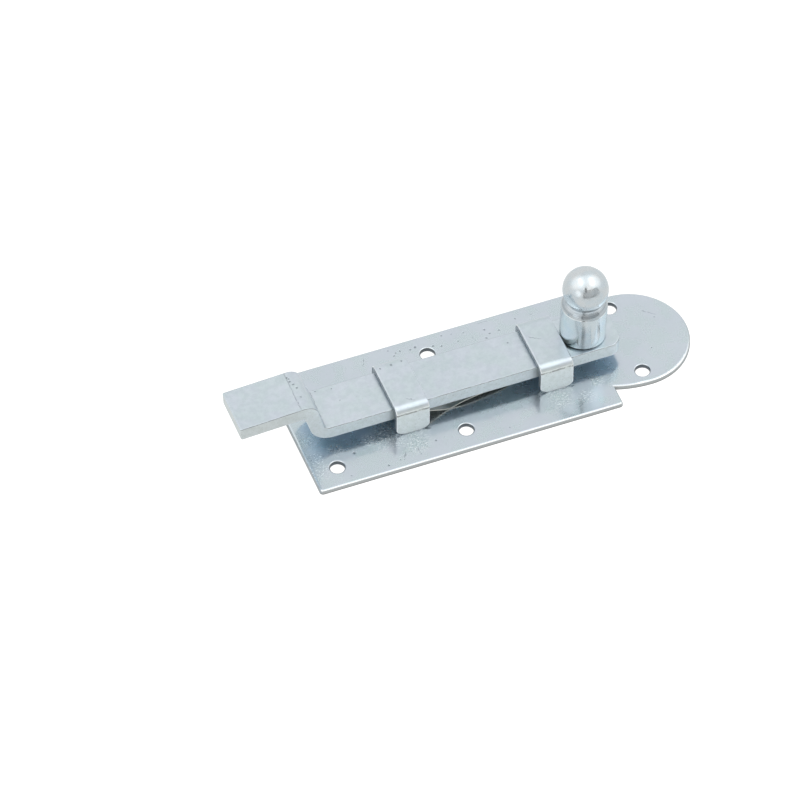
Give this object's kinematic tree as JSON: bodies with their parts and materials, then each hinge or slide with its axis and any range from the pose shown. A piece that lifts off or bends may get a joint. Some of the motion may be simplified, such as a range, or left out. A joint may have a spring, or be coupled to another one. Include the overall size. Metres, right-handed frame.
{
  "type": "cranked barrel bolt",
  "caption": "Surface-mounted sliding bolt: a flat bar with a cranked nose slides in straps on a base plate, moved by a ball knob.",
  "frame": {"origin": "on the base plate's back face, halfway along the plate's length and on the axis of the bar", "axes": "+X along the bar, from the cranked nose towards the knob and the plate's round end; +Z out of the plate, away from the door; +Y across the plate. At rest the bolt is thrown"},
  "size_m": [0.1614, 0.0518, 0.0405],
  "materials": {
    "zinc_plate": "bright zinc plating on pressed sheet steel, semi-gloss with faint mottling and a few pits",
    "zinc_strap": "bright zinc plating on folded strip, bright on the folds",
    "zinc_bar": "bright zinc plating on drawn flat bar, smooth with fine marks",
    "spring_steel": "thin plated spring strip",
    "zinc_knob": "bright zinc plating on turned steel, glossy"
  },
  "bodies": {
    "base": {"base_plate": "zinc_plate", "front_strap": "zinc_strap", "rear_strap": "zinc_strap", "leaf_spring": "spring_steel"},
    "bolt": {"bolt_bar": "zinc_bar", "knob": "zinc_knob"}
  },
  "joints": [
    {"name": "bolt_slide", "type": "slide", "parent": "base", "child": "bolt", "axis": [1, 0, 0], "range_m": [0, 0.023]}
  ]
}
